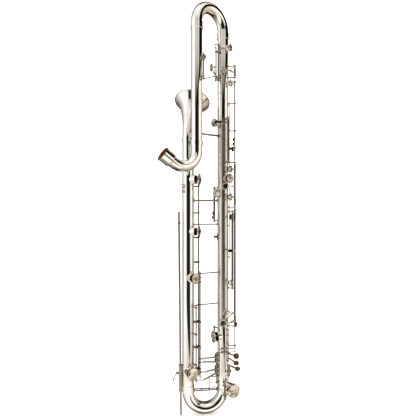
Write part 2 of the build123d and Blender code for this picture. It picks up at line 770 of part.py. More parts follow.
for index, name in enumerate(low_lever_names):
    low, high = lever_spans[index]
    meeting = level(low_lines[index], meet_z[index]) + right * (meet_reach(index) - meet_short)
    tip = meeting - front * (meet_half + tip_gap + tip_r)
    middle = (low + high) / 2
    with BuildPart() as crossing:
        pillar(lever_line, lever_tube_r, low, high)
        lever(level(lever_line, middle), tip, (4.4, 3.0), (3.4, 2.4))
        with Locations(tip):
            Cylinder(tip_r, tip_length)
        if index < 3:
            touch_z, touch_right, length, width = spatulas[index]
            plate = level(polar(key_tube_axis, 0, 0) + right * touch_right + front * 5, touch_z)
            lever(hoop(lever_line, middle, 100), plate, (4.0, 2.4), (3.4, 2.4))
            touch(plate, front, length, width)
        else:
            plate = level(polar(key_tube_axis, 26, 27.0), middle)
            lever(hoop(lever_line, middle, 80), plate, (4.0, 2.4), (4.0, 2.4))
            touch(level(plate, long_touch_z), front, 33, 8)
        pillar(lever_line, rod_r + rod_clearance, low - 1, high + 1, Mode.SUBTRACT)
    finish(crossing, name)

# Thumb lever that pushes the finger of the neck octave key
octave_push = Vector(0.77, -0.64, 0)
push_gap = 0.3
push_half = 1.4
push_z = 940.6
thumb_z = 962.0
guard_z = 1014.0
thumb_facing = polar(Tube(0, 0, 0), 165, 1)
with BuildPart() as octave_lever:
    pillar(octave_line, shaft_r, 922, 1018)
    push_end = octave_meet - octave_push * (octave_finger_r + push_gap + push_half)
    lever(level(octave_line, push_z), level(push_end, push_z), (4, 3), (4, 2.6))
    thumb_place = level(polar(key_tube_axis, -99, 32), thumb_z)
    lever(level(octave_line, thumb_z), thumb_place)
    touch(thumb_place, thumb_facing, 22, 8)
    lever(level(octave_line, guard_z), level(polar(key_tube_axis, -60, 29), guard_z))
finish(octave_lever, "octave_lever")

# Floor peg, leaning a little against the bell tube, with its stop collar near the top
peg_way = Vector(-sin(radians(peg_lean)), 0, cos(radians(peg_lean)))
peg_across = Vector(cos(radians(peg_lean)), 0, sin(radians(peg_lean)))
peg_plane = Plane(origin=(0, 0, 0), x_dir=peg_across, z_dir=peg_way)
peg_collar_z = peg_length - peg_collar_drop
with BuildPart() as floor_peg:
    with BuildSketch(peg_plane.offset(point_length)) as rod:
        Circle(peg_r)
    extrude(rod.sketch, amount=peg_length - point_length)
    with Locations(peg_plane.location):
        Cone(peg_r * 0.4, peg_r, point_length, align=(Align.CENTER, Align.CENTER, Align.MIN))
    with BuildSketch(peg_plane.offset(peg_collar_z)) as collar:
        Circle(peg_collar_r)
    extrude(collar.sketch, amount=peg_collar_length)
    with BuildSketch(peg_plane.offset(tip_groove_z)) as groove:
        Circle(peg_r + 1)
        Circle(peg_r - tip_groove_depth, mode=Mode.SUBTRACT)
    extrude(groove.sketch, amount=tip_groove_length, mode=Mode.SUBTRACT)
finish(floor_peg, "floor_peg")

# Peg holder, soldered along the bell tube, with a threaded boss for the screw
screw_plane = Plane(origin=peg_way * screw_z, x_dir=(0, 1, 0), z_dir=(-1, 0, 0))
boss_r = 3.4
boss_reach = 8.5
with BuildPart() as peg_holder:
    with BuildSketch(peg_plane.offset(holder_z)) as sleeve:
        Circle(holder_r)
    extrude(sleeve.sketch, amount=holder_length)
    for z in (holder_z, holder_z + holder_length - 3):
        with BuildSketch(peg_plane.offset(z)) as lip:
            Circle(holder_r + 0.8)
        extrude(lip.sketch, amount=3)
    with BuildSketch(screw_plane) as boss:
        Circle(boss_r)
    extrude(boss.sketch, amount=boss_reach)
    with BuildSketch(peg_plane.offset(holder_z - 1)) as peg_bore:
        Circle(peg_r + peg_clearance)
    extrude(peg_bore.sketch, amount=holder_length + 2, mode=Mode.SUBTRACT)
    with BuildSketch(screw_plane) as screw_bore:
        Circle(screw_r + rod_clearance)
    extrude(screw_bore.sketch, amount=boss_reach + 1, mode=Mode.SUBTRACT)
    upright(bell_tube_axis, bell_tube_r, holder_z - 5, holder_z + holder_length + 5, Mode.SUBTRACT)
    add(ferrules.part, mode=Mode.SUBTRACT)
finish(peg_holder, "peg_holder")

# Clamping screw with a lever handle that hangs down and out
screw_start = peg_r + 0.4
head_reach = boss_reach + 0.5
head_r = 3.2
head_length = 4.5
handle_way = Vector(-9, -2, -17)
handle_r = 1.3
knob_r = 2.4
with BuildPart() as peg_screw:
    with BuildSketch(screw_plane.offset(screw_start)) as thread:
        Circle(screw_r)
    extrude(thread.sketch, amount=head_reach - screw_start + 1)
    with BuildSketch(screw_plane.offset(head_reach)) as head:
        Circle(head_r)
    extrude(head.sketch, amount=head_length)
    head_mid = peg_way * screw_z + Vector(-head_reach - head_length / 2, 0, 0)
    handle_end = head_mid + handle_way
    bar_between(head_mid, handle_end, handle_r)
    with Locations(handle_end):
        Sphere(knob_r)
finish(peg_screw, "peg_screw")

# What the player's strap and thumb hold: two rings on the bell tube, a hook on the key tube
hook_z = 489.0
hook_angle = -100
ring_angle = -49
with BuildPart() as strap_rings:
    for z, size, wire in ((629, 6.0, 1.2), (615, 4.0, 1.0)):
        centre = polar(bell_tube_axis, ring_angle, bell_tube_r + size + wire * 0.8)
        tangent = (cos(radians(ring_angle)), sin(radians(ring_angle)), 0)
        with Locations(Plane(origin=level(centre, z), x_dir=(0, 0, 1), z_dir=tangent).location):
            Torus(size, wire)
    upright(bell_tube_axis, bell_tube_r, bow_z, bell_joint_z, Mode.SUBTRACT)
    for size_up, size_across, start, height in (
        (16, 10, 0, key_tube_r + 2), (5, 5, 0, key_tube_r + 8), (14, 11, key_tube_r + 8, 1.8)
    ):
        with BuildSketch(wall_plane(key_tube_axis, hook_angle, hook_z, start)) as layer:
            Rectangle(size_up, size_across)
        extrude(layer.sketch, amount=height)
    upright(key_tube_axis, key_tube_r, hook_z - 20, hook_z + 20, Mode.SUBTRACT)
finish(strap_rings, "strap_rings_and_hook")

# Blued needle springs, each from a post alongside its key's hinge
spring_places = [
    (key_tube_axis, side_line, 962, -1), (key_tube_axis, side_line, 693, -1),
    (key_tube_axis, side_line, 576, 1), (key_tube_axis, middle_line, 556, -1),
    (key_tube_axis, side_line, 568, -1), (key_tube_axis, side_line, 244, 1),
    (key_tube_axis, front_line, 812, -1), (key_tube_axis, thumb_line, 538, 1),
]
with BuildPart() as needle_springs:
    for tube, line, z, way in spring_places:
        outward = Vector(line.X - tube.x, line.Y - tube.y, 0).normalized()
        spot = line + outward * (hinge_tube_r + spring_r + 0.4)
        pillar(spot, spring_r, min(z, z + way * spring_length), max(z, z + way * spring_length))
finish(needle_springs, "needle_springs")
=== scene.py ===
# %% [markdown]
# # A silver contrabass clarinet in a white studio
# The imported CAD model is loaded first. It is the fixed frame of this scene, in metres: the two long
# tubes, the bows, the bell, the keys and the floor peg are already where they belong. This script
# gives every one of them a finish, replaces the plain pad discs with leather pads, adds the small
# fittings that are too fine for CAD, and sets up the studio.

# %% Load the frame
import json
from math import cos, pi, radians, sin

import bmesh
import bpy
import numpy as np
from mathutils import Matrix, Vector

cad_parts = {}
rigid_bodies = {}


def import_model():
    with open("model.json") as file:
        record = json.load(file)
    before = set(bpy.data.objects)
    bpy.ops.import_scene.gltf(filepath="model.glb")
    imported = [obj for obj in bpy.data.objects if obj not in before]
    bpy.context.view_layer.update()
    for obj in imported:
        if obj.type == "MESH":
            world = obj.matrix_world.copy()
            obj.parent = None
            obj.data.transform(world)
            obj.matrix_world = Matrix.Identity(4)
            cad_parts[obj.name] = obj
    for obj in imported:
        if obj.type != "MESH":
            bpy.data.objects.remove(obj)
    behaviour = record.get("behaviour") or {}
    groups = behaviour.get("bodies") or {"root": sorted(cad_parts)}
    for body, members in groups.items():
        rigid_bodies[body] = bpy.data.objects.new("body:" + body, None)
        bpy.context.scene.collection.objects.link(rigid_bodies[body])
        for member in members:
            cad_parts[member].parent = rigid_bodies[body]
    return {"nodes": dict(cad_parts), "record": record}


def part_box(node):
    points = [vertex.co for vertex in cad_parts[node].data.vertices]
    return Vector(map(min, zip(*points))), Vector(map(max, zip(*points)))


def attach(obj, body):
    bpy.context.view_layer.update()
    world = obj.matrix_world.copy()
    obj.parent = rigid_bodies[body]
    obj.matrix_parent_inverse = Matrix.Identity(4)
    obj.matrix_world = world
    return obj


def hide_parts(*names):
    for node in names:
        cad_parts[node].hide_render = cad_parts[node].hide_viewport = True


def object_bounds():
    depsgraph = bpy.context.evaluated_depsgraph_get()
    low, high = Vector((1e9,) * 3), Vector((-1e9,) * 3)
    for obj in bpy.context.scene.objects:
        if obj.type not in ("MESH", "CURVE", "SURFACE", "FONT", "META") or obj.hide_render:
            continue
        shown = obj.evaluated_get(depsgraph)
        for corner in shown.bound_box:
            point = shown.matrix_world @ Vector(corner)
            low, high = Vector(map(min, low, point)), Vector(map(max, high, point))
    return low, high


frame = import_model()
for start_object in [o for o in bpy.context.scene.objects if o.type in {"LIGHT", "CAMERA"} or o.name == "Cube"]:
    bpy.data.objects.remove(start_object)
cad_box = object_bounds()
nodes = frame["nodes"]
mm = 0.001

# %% [markdown]
# ## Which body each node belongs to
# A key's cup, its pad and anything fixed to them must turn together, so the record's list of bodies
# is turned round into a table from node to body.

# %% Node to body
body_of_node = {}
for body, members in frame["record"]["behaviour"]["bodies"].items():
    for member in members:
        body_of_node[member] = body
pad_nodes = sorted(name for name in nodes if name.endswith("_pad"))
print("pads", len(pad_nodes))

# %% [markdown]
# ## A small helper for shader maths
# Materials are node trees. Wiring each Math node by hand is long to read, so a socket is wrapped in a
# class whose operators add the node: `mask * 0.5 + noise` makes two Math nodes. Colours keep to Mix
# and Vector Math nodes, because a Math node would turn them grey.

# %% Shader maths as expressions
class Wire:
    """An output socket that can be added, multiplied and compared."""

    def __init__(self, tree, socket):
        self.tree, self.socket = tree, socket

    def node(self, kind, settings=None, **inputs):
        return add_node(self.tree, kind, settings, **inputs)

    def maths(self, operation, other=None, flip=False):
        values = (self,) if other is None else (self, other)
        made = self.tree.nodes.new("ShaderNodeMath")
        made.operation = operation
        for slot, value in zip(made.inputs, reversed(values) if flip else values):
            plug(self.tree, slot, value)
        return Wire(self.tree, made.outputs[0])

    def __add__(self, other):
        return self.maths("ADD", other)

    def __sub__(self, other):
        return self.maths("SUBTRACT", other)

    def __mul__(self, other):
        return self.maths("MULTIPLY", other)

    def __truediv__(self, other):
        return self.maths("DIVIDE", other)

    def __pow__(self, other):
        return self.maths("POWER", other)

    def __radd__(self, other):
        return self.maths("ADD", other, flip=True)

    def __rsub__(self, other):
        return self.maths("SUBTRACT", other, flip=True)

    def __rmul__(self, other):
        return self.maths("MULTIPLY", other, flip=True)

    def __gt__(self, other):
        return self.maths("GREATER_THAN", other)

    def __lt__(self, other):
        return self.maths("LESS_THAN", other)


def plug(tree, slot, value):
    """Links a wire to a socket, or sets the socket's own value."""
    if isinstance(value, Wire):
        tree.links.new(value.socket, slot)
    else:
        slot.default_value = value


def add_node(tree, kind, settings=None, **inputs):
    """Any other node: its settings first, then the values or links of its sockets by name."""
    made = tree.nodes.new(kind)
    for name, value in (settings or {}).items():
        setattr(made, name, value)
    for name, value in inputs.items():
        plug(tree, made.inputs[name.replace("_", " ")], value)
    return made


def out(made, name=0):
    """One output of a node as a wire."""
    return Wire(made.id_data, made.outputs[name])


def blend_colours(tree, factor, first, second):
    """A colour between two others."""
    made = tree.nodes.new("ShaderNodeMix")
    made.data_type = "RGBA"
    for slot, value in ((0, factor), (6, first), (7, second)):
        plug(tree, made.inputs[slot], value)
    return Wire(tree, made.outputs[2])


def remap(value, low, high, to_low=0.0, to_high=1.0):
    """A smooth step from one value to another between two limits."""
    made = add_node(value.tree, "ShaderNodeMapRange", {"interpolation_type": "SMOOTHSTEP"},
                    Value=value, From_Min=low, From_Max=high, To_Min=to_low, To_Max=to_high)
    return out(made)


print("shader helpers ready")

# %% [markdown]
# ## Silver plate
# The real instrument is brass with a bright silver plating, buffed to a mirror. A mirror has almost
# no colour of its own, so what makes it real is what disturbs it: a faint waviness from hand
# polishing, drifting smudges that dull it a little, and a trace of warm tarnish. All three are noise
# on Object coordinates, at sizes of a few millimetres to a few centimetres, and they feed only the
# base colour, the roughness and a gentle bump.

# %% Metal finishes
def object_coordinates(tree):
    return out(add_node(tree, "ShaderNodeTexCoord"), "Object")


def noise(tree, where, scale, detail=2.0, roughness=0.5):
    made = add_node(tree, "ShaderNodeTexNoise", {"noise_dimensions": "3D"},
                    Vector=where, Scale=scale, Detail=detail, Roughness=roughness)
    return out(made, "Fac")


def new_finish(name):
    """A material with one Principled shader, and its tree."""
    material = bpy.data.materials.new(name)
    material.use_nodes = True
    tree = material.node_tree
    return material, tree, tree.nodes["Principled BSDF"]


def polished_metal(name, bright, tarnish, dull, gloss, smudge, wave,
                   wear_and_painted_dark=None, wear_and_painted_dark_colour=None, wear_and_painted_dark_rough=0.3, patch=22.0):
    """A buffed metal: bright and tarnish colour, amount, roughness low and high, waviness, and one area with its own
    colour and roughness: wear, and on the lever touches a painted dark reflection.
    """
    material, tree, shader = new_finish(name)
    where = object_coordinates(tree)
    drift = noise(tree, where, patch, 3.0)
    speck = noise(tree, where, 260.0, 2.0)
    stain = remap(drift, 0.42, 0.72) * dull + remap(speck, 0.62, 0.8) * (dull * 0.4)
    colour = blend_colours(tree, stain, bright, tarnish)
    roughness = remap(noise(tree, where, 55.0, 3.0), 0.35, 0.75, gloss, smudge)
    if wear_and_painted_dark:
        area = wear_and_painted_dark(where)
        colour = blend_colours(tree, area, colour, wear_and_painted_dark_colour)
        roughness = roughness + area * (wear_and_painted_dark_rough - gloss)
    plug(tree, shader.inputs["Base Color"], colour)
    plug(tree, shader.inputs["Roughness"], roughness)
    shader.inputs["Metallic"].default_value = 1.0
    bump = add_node(tree, "ShaderNodeBump", None, Strength=0.2, Distance=wave,
                    Height=noise(tree, where, 90.0, 1.0))
    tree.links.new(bump.outputs["Normal"], shader.inputs["Normal"])
    return material


bright_silver, stained_silver = (0.955, 0.94, 0.915, 1), (0.80, 0.73, 0.62, 1)
tube_silver = polished_metal("tube_silver_plate", bright_silver, stained_silver, 0.3, 0.012, 0.05, 0.00002)
key_silver = polished_metal("key_silver_plate", (0.86, 0.82, 0.75, 1), (0.50, 0.40, 0.28, 1), 0.6, 0.05, 0.16, 0.00005)
peg_steel = polished_metal("peg_polished_steel", (0.40, 0.36, 0.31, 1), (0.28, 0.24, 0.20, 1), 0.5, 0.22, 0.34, 0.00004)
fitting_silver = polished_metal("fitting_silver_plate", (0.42, 0.37, 0.29, 1), (0.22, 0.17, 0.12, 1), 0.7, 0.08, 0.22, 0.00004)
print("polished metals", tube_silver.name, key_silver.name, peg_steel.name, fitting_silver.name)

# %% [markdown]
# ## Where hands wear the plating, and where dark is painted
# Between the key work the long key tube is rubbed dull, because it can't be buffed there. Inside the
# neck socket the bare brass shows, dark with cork grease. The finger touches of the low levers are
# painted dark brown: a painted reflection of a dark surrounding, not wear. The braces are darker and
# duller from the floor up to 150 mm. Each area is a distance measured in the shader from a part of
# the frame.

# %% Worn finishes and painted dark areas
def height_band(low, high, soft):
    """One between two heights, fading over a soft length."""
    def area(where):
        z = out(add_node(where.tree, "ShaderNodeSeparateXYZ", None, Vector=where), "Z")
        return remap(z, low - soft, low + soft) * remap(z, high - soft, high + soft, 1.0, 0.0)
    return area


def near_line(place, direction, radius, soft):
    """One within a radius of a line, such as the inside of a bore."""
    def area(where):
        shifted = add_node(where.tree, "ShaderNodeVectorMath", {"operation": "SUBTRACT"})
        plug(where.tree, shifted.inputs[0], where)
        shifted.inputs[1].default_value = place
        across = add_node(where.tree, "ShaderNodeVectorMath", {"operation": "CROSS_PRODUCT"})
        plug(where.tree, across.inputs[0], out(shifted))
        across.inputs[1].default_value = direction
        distance = out(add_node(where.tree, "ShaderNodeVectorMath", {"operation": "LENGTH"}, Vector=out(across)), "Value")
        return remap(distance, radius, radius + soft, 1.0, 0.0)
    return area


def beyond_x(start, soft):
    """One to the right of a place, towards the player's right hand."""
    def area(where):
        x = out(add_node(where.tree, "ShaderNodeSeparateXYZ", None, Vector=where), "X")
        return remap(x, start - soft, start + soft)
    return area


mounts = {mount["name"]: mount for mount in frame["record"]["mounts"]}
socket = mounts["neck_socket"]
work_low, work_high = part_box("right_plate_3")[0].z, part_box("trill_key")[1].z
handled_silver = polished_metal(
    "handled_silver_plate", bright_silver, stained_silver, 0.3, 0.012, 0.05, 0.00002,
    height_band(work_low, work_high, 22 * mm), (0.72, 0.68, 0.61, 1), 0.25)
socket_silver = polished_metal(
    "socket_silver_plate", bright_silver, stained_silver, 0.3, 0.012, 0.05, 0.00002,
    near_line(socket["pos_m"], socket["axis"], (socket["dims"]["r_mm"] + 0.3) * mm, 0.2 * mm),
    (0.50, 0.22, 0.06, 1), 0.5)
# The touches right of touch_start are coloured dark brown: a painted dark reflection, not brass worn through.
touch_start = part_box("low_b_key")[1].x + 46 * mm
lever_painted_dark_reflection = polished_metal(
    "lever_painted_dark_reflection_plate", (0.32, 0.27, 0.20, 1), (0.20, 0.15, 0.10, 1), 0.6, 0.06, 0.18, 0.00005,
    beyond_x(touch_start, 1.5 * mm), (0.15, 0.10, 0.05, 1), 0.26)
# The braces are darker and duller from the floor up to 150 mm.
brace_silver = polished_metal(
    "brace_silver_plate", (0.42, 0.37, 0.29, 1), (0.22, 0.17, 0.12, 1), 0.7, 0.08, 0.22, 0.00004,
    height_band(-10 * mm, 150 * mm, 10 * mm), (0.17, 0.13, 0.09, 1), 0.3)
print("worn metals", handled_silver.name, socket_silver.name, lever_painted_dark_reflection.name, brace_silver.name)


def key_finish(name, joint):
    """Bright cups and arms, and a brown, dull hinge tube where no cloth reaches."""
    barrel = near_line(joint["pos_m"], joint["axis"], 3.3 * mm, 0.8 * mm)
    return polished_metal(name + "_plate", (0.84, 0.79, 0.71, 1), (0.26, 0.19, 0.12, 1), 0.9, 0.04, 0.14, 0.00005,
                          barrel, (0.22, 0.17, 0.12, 1), 0.22, patch=70.0)


hinges = {joint["child"]: joint for joint in frame["record"]["behaviour"]["joints"] if joint["type"] == "hinge"}
key_hinges = {name: joint for name, joint in hinges.items() if name.endswith("_key") or "_plate_" in name}
print("key hinges", len(key_hinges))

# %% [markdown]
# ## Steel rods and blued springs
# The hinge rods are ground steel, with fine rings round them from the grinding. A wave texture along
# Z gives the rings. The needle springs are blued: a dark blue film over steel, browner where the heat
# was lower, so two colours are blended along their length.

# %% Rods and springs
def ground_steel():
    material, tree, shader = new_finish("rod_ground_steel")
    where = object_coordinates(tree)
    rings = add_node(tree, "ShaderNodeTexWave", {"wave_type": "BANDS", "bands_direction": "Z"},
                     Vector=where, Scale=900.0, Distortion=1.5)
    ring = out(rings, "Fac")
    plug(tree, shader.inputs["Base Color"],
         blend_colours(tree, ring * 0.5, (0.42, 0.37, 0.30, 1), (0.26, 0.22, 0.17, 1)))
    plug(tree, shader.inputs["Roughness"], ring * 0.12 + 0.18)
    shader.inputs["Metallic"].default_value = 1.0
    return material


def blued_steel():
    material, tree, shader = new_finish("spring_blued_steel")
    where = object_coordinates(tree)
    heat = remap(noise(tree, where, 130.0, 2.0), 0.35, 0.65)
    plug(tree, shader.inputs["Base Color"],
         blend_colours(tree, heat, (0.035, 0.055, 0.16, 1), (0.12, 0.07, 0.05, 1)))
    plug(tree, shader.inputs["Roughness"], heat * 0.1 + 0.22)
    shader.inputs["Metallic"].default_value = 1.0
    return material


rod_steel = ground_steel()
spring_blue = blued_steel()
print("steels", rod_steel.name, spring_blue.name)

# %% [markdown]
# ## Pad leather
# A pad is a felt disc in a tan leather skin. The grain is a fine Voronoi cell pattern, darker in its
# creases, with a slow change from fresh tan to a browner tone where moisture has reached it. The same
# cells drive the bump, at a depth of a few hundredths of a millimetre.

# %% Leather
def pad_leather():
    material, tree, shader = new_finish("pad_tan_leather")
    where = object_coordinates(tree)
    cells = add_node(tree, "ShaderNodeTexVoronoi", {"feature": "DISTANCE_TO_EDGE"}, Vector=where, Scale=1500.0)
    grain = remap(out(cells, "Distance"), 0.0, 0.12)
    age = remap(noise(tree, where, 70.0, 4.0), 0.35, 0.7)
    tan_tone = blend_colours(tree, age, (0.60, 0.42, 0.26, 1), (0.40, 0.24, 0.12, 1))
    plug(tree, shader.inputs["Base Color"], blend_colours(tree, grain, (0.20, 0.11, 0.05, 1), tan_tone))
    plug(tree, shader.inputs["Roughness"], 0.72 - grain * 0.2)
    bump = add_node(tree, "ShaderNodeBump", None, Strength=0.6, Distance=0.00004, Height=grain)
    tree.links.new(bump.outputs["Normal"], shader.inputs["Normal"])
    return material


leather = pad_leather()
print("leather", leather.name)

# %% [markdown]
# ## Finish every CAD node
# The record names a material slot for each node, and each slot has one finish here. A CAD node's
# object keeps its mesh as it is, and only its material is set.

# %% Give the nodes their finishes
finish_of_slot = {
    "tube_silver": tube_silver, "key_silver": key_silver, "peg_steel": peg_steel,
    "rod_steel": rod_steel, "spring_blue": spring_blue, "pad_leather": leather,
}
finish_of_node = {
    "key_tube": handled_silver, "neck_socket": socket_silver, "tube_braces": brace_silver,
    "key_posts": fitting_silver, "bell_posts": fitting_silver, "strap_rings_and_hook": fitting_silver,
    "peg_holder": fitting_silver, "octave_lever": fitting_silver,
    "e_flat_lever": lever_painted_dark_reflection, "d_lever": lever_painted_dark_reflection, "c_sharp_lever": lever_painted_dark_reflection, "c_lever": lever_painted_dark_reflection,
}
finish_of_node.update({name: key_finish(name, joint) for name, joint in key_hinges.items()})
finish_of_node["low_b_key"] = polished_metal(
    "low_b_key_satin", (0.86, 0.80, 0.70, 1), (0.60, 0.50, 0.38, 1), 0.6, 0.30, 0.42, 0.00005)
slot_of_node = {part["node"]: part["material_slot"] for part in frame["record"]["subparts"]}
for name, node in nodes.items():
    node.data.materials.clear()
    node.data.materials.append(finish_of_node.get(name, finish_of_slot[slot_of_node[name]]))
print("finished nodes", len(slot_of_node))

# %% [markdown]
# ## Where each pad lies
# A pad is a short disc whose axis is level. Its end faces hold most of its area, so the direction
# that collects the most face area is its axis. It points to the tube that the pad closes.

# %% Measure a disc node
def disc_frame(node):
    """Centre, axis, radius and thickness of a disc-shaped node."""
    mesh = node.data
    normals = np.array([face.normal for face in mesh.polygons])
    areas = np.array([face.area for face in mesh.polygons])
    spread = (normals * areas[:, None]).T @ normals
    axis = Vector(np.linalg.eigh(spread)[1][:, -1])
    points = np.array([vertex.co for vertex in mesh.vertices])
    along = points @ np.array(axis)
    centre = Vector((points.max(0) + points.min(0)) / 2)
    radial = points - np.array(centre) - np.outer(along - along.mean(), axis)
    return centre, axis, float(np.linalg.norm(radial, axis=1).max()), float(along.max() - along.min())


def tube_centre(name):
    low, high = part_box(name)
    return (low + high) / 2


print("disc of", pad_nodes[0], disc_frame(nodes[pad_nodes[0]]))

# %% [markdown]
# ## Leather pads
# Each pad is a soft, crowned disc. Its outline is half a section, spun about the axis: a flat back
# in the cup, a rounded shoulder, and a face that rises to the ring where the tone hole's rim has
# pressed a groove. Spinning one section with `bmesh.ops.spin` keeps the poles and the rings clean.

# %% Build the pads
leg_tube_radius = 15.25 * mm


def closing_axis(node):
    """The pad's centre and its axis, turned to face the tube that it closes."""
    centre, axis, radius, thick = disc_frame(node)
    tubes = [tube_centre(name) for name in ("key_tube", "bell_tube")]
    leg_low, leg_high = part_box("front_leg")
    tubes.append(Vector((leg_high.x - leg_tube_radius, leg_low.y + leg_tube_radius, 0)))
    nearest = min(tubes, key=lambda tube: (tube.xy - centre.xy).length)
    if axis.xy.dot(nearest.xy - centre.xy) < 0:
        axis = -axis
    return centre, axis, radius, thick


def pad_section(radius, thick):
    """Half of a pad's section: distance from the axis, and height towards the tone hole."""
    back, face = -thick / 2, thick / 2
    groove = radius * 0.80
    return (
        (0.0, back), (radius * 0.96, back), (radius, back + 0.25 * thick), (radius, face - 0.34 * thick),
        (radius * 0.975, face - 0.14 * thick), (radius * 0.93, face - 0.04 * thick), (radius * 0.88, face),
        (groove + 0.25 * mm, face - 0.02 * thick), (groove, face - 0.10 * thick),
        (groove - 0.35 * mm, face - 0.02 * thick), (radius * 0.6, face), (0.0, face - 0.01 * thick),
    )


def spun_piece(name, section, centre, axis, steps=48):
    """A closed round piece from half a section, spun about its own axis and put in place."""
    mesh = bmesh.new()
    ring = [mesh.verts.new((distance, 0, height)) for distance, height in section]
    edges = [mesh.edges.new(pair) for pair in zip(ring, ring[1:])]
    bmesh.ops.spin(mesh, geom=ring + edges, cent=(0, 0, 0), axis=(0, 0, 1), angle=2 * pi, steps=steps,
                   use_merge=True, use_duplicate=False)
    bmesh.ops.remove_doubles(mesh, verts=mesh.verts, dist=1e-6)
    bmesh.ops.recalc_face_normals(mesh, faces=mesh.faces)
    turn = Vector((0, 0, 1)).rotation_difference(axis).to_matrix().to_4x4()
    bmesh.ops.transform(mesh, matrix=Matrix.Translation(centre) @ turn, verts=mesh.verts)
    for face in mesh.faces:
        face.smooth = True
    data = bpy.data.meshes.new(name)
    mesh.to_mesh(data)
    mesh.free()
    piece = bpy.data.objects.new(name, data)
    bpy.context.scene.collection.objects.link(piece)
    return piece


for name in pad_nodes:
    centre, axis, radius, thick = closing_axis(nodes[name])
    pad = spun_piece(name + "_leather", pad_section(radius, thick), centre, axis)
    pad.data.materials.append(leather)
    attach(pad, body_of_node[name])
    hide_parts(name)
print("leather pads", len(pad_nodes))

# %% [markdown]
# ## Screws in the ends of the hinge rods
# Each hinge rod ends in a slotted head that a repairer turns out. The rods are one node with many
# loose solids, so each solid's own ends are measured, and a domed head with a real slot is put on
# both of them. The slot is cut by two planes, and the strip between them is pushed down.

# %% Build the screw heads
def loose_solids(data):
    """The vertex places of each solid in a mesh, with the vertices that sharp edges split joined again."""
    mesh = bmesh.new()
    mesh.from_mesh(data)
    bmesh.ops.remove_doubles(mesh, verts=mesh.verts, dist=1e-6)
    left, solids = set(mesh.verts), []
    while left:
        reached = [left.pop()]
        for vertex in reached:
            for edge in vertex.link_edges:
                other = edge.other_vert(vertex)
                if other in left:
                    left.remove(other)
                    reached.append(other)
        solids.append(np.array([vertex.co for vertex in reached]))
    mesh.free()
    return solids


def slotted_head(mesh, radius, base, outward, turned):
    """A domed screw head with a slot, added to a mesh at its base, facing outward."""
    head = bmesh.new()
    tall, slot_half, slot_deep = radius * 0.62, radius * 0.16, radius * 0.34
    section = ((0.0, -0.1 * radius), (radius * 0.92, -0.1 * radius), (radius, 0.1 * radius),
               (radius * 0.94, tall * 0.62), (radius * 0.74, tall * 0.88), (radius * 0.4, tall), (0.0, tall))
    ring = [head.verts.new((distance, 0, height)) for distance, height in section]
    edges = [head.edges.new(pair) for pair in zip(ring, ring[1:])]
    bmesh.ops.spin(head, geom=ring + edges, cent=(0, 0, 0), axis=(0, 0, 1), angle=2 * pi, steps=24,
                   use_merge=True, use_duplicate=False)
    bmesh.ops.remove_doubles(head, verts=head.verts, dist=radius * 1e-4)
    for side in (-slot_half, slot_half):
        bmesh.ops.bisect_plane(head, geom=head.verts[:] + head.edges[:] + head.faces[:], dist=radius * 1e-4,
                               plane_co=(side, 0, 0), plane_no=(1, 0, 0))
    bmesh.ops.recalc_face_normals(head, faces=head.faces)
    strip = [face for face in head.faces
             if abs(face.calc_center_median().x) < slot_half and face.normal.z > 0.3]
    pushed = bmesh.ops.extrude_face_region(head, geom=strip)["geom"]
    bmesh.ops.delete(head, geom=strip, context="FACES_ONLY")
    for vertex in (item for item in pushed if isinstance(item, bmesh.types.BMVert)):
        vertex.co.z -= slot_deep
    bmesh.ops.recalc_face_normals(head, faces=head.faces)
    aim = Vector((0, 0, 1)).rotation_difference(outward).to_matrix().to_4x4()
    bmesh.ops.transform(head, matrix=Matrix.Translation(base) @ aim @ Matrix.Rotation(turned, 4, "Z"),
                        verts=head.verts)
    made = bpy.data.meshes.new("one_head")
    head.to_mesh(made)
    head.free()
    mesh.from_mesh(made)
    bpy.data.meshes.remove(made)


def piece_from(mesh, name, finish, smooth=True):
    """An object from a finished mesh, with one finish."""
    for face in mesh.faces:
        face.smooth = smooth
    data = bpy.data.meshes.new(name)
    mesh.to_mesh(data)
    mesh.free()
    data.materials.append(finish)
    piece = bpy.data.objects.new(name, data)
    bpy.context.scene.collection.objects.link(piece)
    return piece


screws = bmesh.new()
rods = loose_solids(nodes["hinge_rods"].data)
for number, points in enumerate(rods):
    middle = (points.max(0) + points.min(0)) / 2
    radius = float(np.ptp(points[:, 0])) / 2 * 1.15
    for end, outward in ((points[:, 2].max(), 1), (points[:, 2].min(), -1)):
        slotted_head(screws, radius, Vector((middle[0], middle[1], end)), Vector((0, 0, outward)), 0.7 * number)
screws = piece_from(screws, "hinge_screws", rod_steel, smooth=False)
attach(screws, "root")
print("screw heads on", len(rods), "rods")

# %% [markdown]
# ## Rolled rims of the key cups
# The edge of a cup's back is rounded by a spun bead. It is a ring about the pad's axis, as wide as
# the cup measured there, and it turns with the key.

# %% Build the cup rims
def cup_size(key, centre, axis, radius):
    """The cup's outer radius, and how far its back lies behind the pad's centre."""
    points = np.array([vertex.co for vertex in nodes[key].data.vertices]) - np.array(centre)
    along = points @ np.array(axis)
    across = np.linalg.norm(points - np.outer(along, axis), axis=1)
    near = across < radius * 1.22
    rim = near & (across > radius * 0.98)
    return float(across[rim].max()), float(-along[rim].min())


